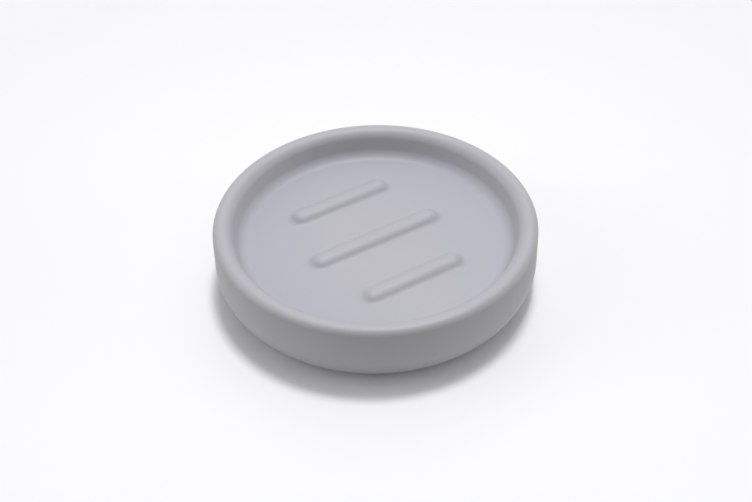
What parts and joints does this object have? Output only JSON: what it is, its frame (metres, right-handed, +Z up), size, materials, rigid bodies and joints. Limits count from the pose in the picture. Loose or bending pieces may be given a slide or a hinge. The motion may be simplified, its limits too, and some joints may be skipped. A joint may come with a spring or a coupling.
{
  "type": "soap dish",
  "caption": "Round free-standing soap dish with a rounded rim, a shallow tray with raised parallel ribs, and rubber feet under its base ring.",
  "frame": {"origin": "on the table under the middle of the dish, level with the undersides of the rubber feet", "axes": "+Z up through the middle of the dish, +X along the ribs"},
  "size_m": [0.115, 0.115, 0.0257],
  "materials": {
    "body": "matte",
    "foot": "matte"
  },
  "bodies": {
    "root": {"dish_body": "body", "rubber_foot_1": "foot", "rubber_foot_2": "foot", "rubber_foot_3": "foot", "rubber_foot_4": "foot"}
  },
  "joints": []
}
